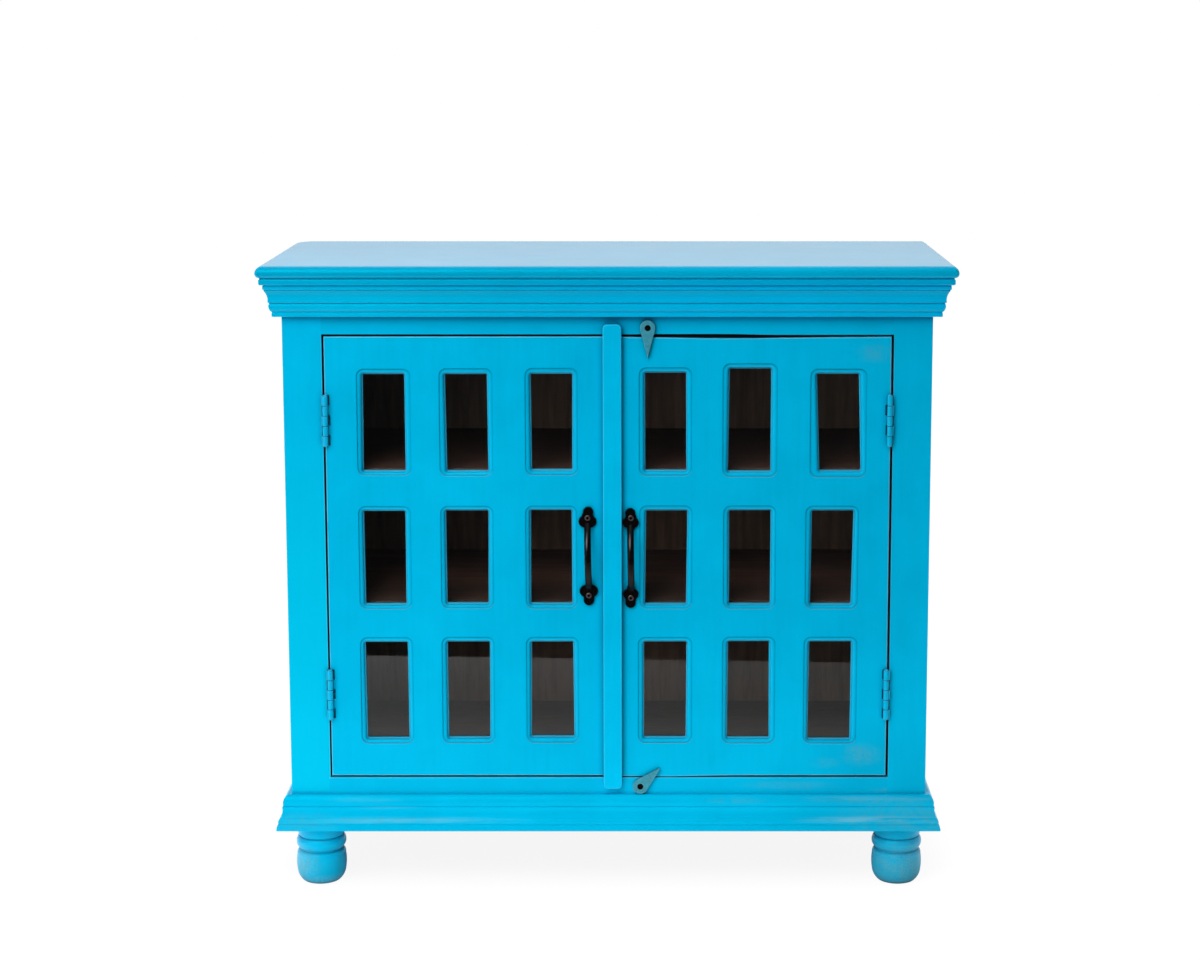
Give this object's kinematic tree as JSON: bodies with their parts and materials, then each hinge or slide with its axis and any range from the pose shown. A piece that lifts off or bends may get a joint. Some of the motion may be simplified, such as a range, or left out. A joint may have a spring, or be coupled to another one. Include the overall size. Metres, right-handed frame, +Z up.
{
  "type": "cabinet with glazed doors",
  "caption": "Low painted sideboard cabinet with a moulded cornice and base, two doors with small glazed windows, pulls, wooden turn-buttons, inner shelves and turned bun feet.",
  "frame": {"origin": "on the floor under the middle of the outer box", "axes": "+Z up, +X to the right of someone facing the doors, the doors face -Y"},
  "size_m": [1.052, 0.44, 0.971],
  "materials": {
    "turquoise_paint": "satin turquoise paint over wood, brush marks, worn at the edges",
    "interior_wood": "dark stained, matt",
    "painted_hinge": "steel butt hinge painted over",
    "steel_screws": "plain steel",
    "black_iron": "black japanned casting, semi-gloss",
    "black_screws": "blackened steel",
    "worn_button": "thin worn paint over metal",
    "glass": "clear"
  },
  "bodies": {
    "cabinet": {"top_board": "turquoise_paint", "cornice_front": "turquoise_paint", "cornice_left": "turquoise_paint", "cornice_right": "turquoise_paint", "stile_left": "turquoise_paint", "stile_right": "turquoise_paint", "rail_top": "turquoise_paint", "rail_bottom": "turquoise_paint", "side_left": "turquoise_paint", "side_right": "turquoise_paint", "back_panel": "interior_wood", "bottom_board": "interior_wood", "shelf_upper": "interior_wood", "shelf_lower": "interior_wood", "cleat_upper_left": "interior_wood", "cleat_upper_right": "interior_wood", "cleat_lower_left": "interior_wood", "cleat_lower_right": "interior_wood", "top_stop_rail": "interior_wood", "base_front": "turquoise_paint", "base_left": "turquoise_paint", "base_right": "turquoise_paint", "block_front_left": "interior_wood", "block_front_right": "interior_wood", "block_rear_left": "interior_wood", "block_rear_right": "interior_wood", "foot_front_left": "turquoise_paint", "foot_front_right": "turquoise_paint", "foot_rear_left": "turquoise_paint", "foot_rear_right": "turquoise_paint", "hinge_frame_leaf_upper_left": "painted_hinge", "hinge_frame_leaf_lower_left": "painted_hinge", "hinge_frame_leaf_upper_right": "painted_hinge", "hinge_frame_leaf_lower_right": "painted_hinge", "hinge_pins": "painted_hinge", "hinge_frame_screws": "steel_screws", "button_screws": "black_screws"},
    "left_door": {"left_door_panel": "turquoise_paint", "left_door_glass": "glass", "left_glazing_beads": "interior_wood", "left_door_leaf_upper": "painted_hinge", "left_door_leaf_lower": "painted_hinge", "left_door_hinge_screws": "steel_screws", "left_handle": "black_iron", "left_handle_screws": "black_screws"},
    "right_door": {"right_door_panel": "turquoise_paint", "right_door_glass": "glass", "right_glazing_beads": "interior_wood", "right_door_leaf_upper": "painted_hinge", "right_door_leaf_lower": "painted_hinge", "right_door_hinge_screws": "steel_screws", "right_handle": "black_iron", "right_handle_screws": "black_screws", "centre_strip": "turquoise_paint"},
    "top_button": {"top_turn_button": "worn_button"},
    "bottom_button": {"bottom_turn_button": "worn_button"}
  },
  "joints": [
    {"name": "left_door_hinge", "type": "hinge", "parent": "cabinet", "child": "left_door", "pos_m": [-0.4279, -0.1902, 0.5195], "axis": [0, 0, -1], "range_deg": [0, 175]},
    {"name": "right_door_hinge", "type": "hinge", "parent": "cabinet", "child": "right_door", "pos_m": [0.4279, -0.1902, 0.5195], "axis": [0, 0, 1], "range_deg": [0, 175]},
    {"name": "top_button_turn", "type": "hinge", "parent": "cabinet", "child": "top_button", "pos_m": [0.0607, -0.1888, 0.8752], "axis": [0, -1, 0], "range_deg": [-54, 105]},
    {"name": "bottom_button_turn", "type": "hinge", "parent": "cabinet", "child": "bottom_button", "pos_m": [0.0493, -0.1888, 0.1594], "axis": [0, -1, 0], "range_deg": [-52, 78]}
  ]
}
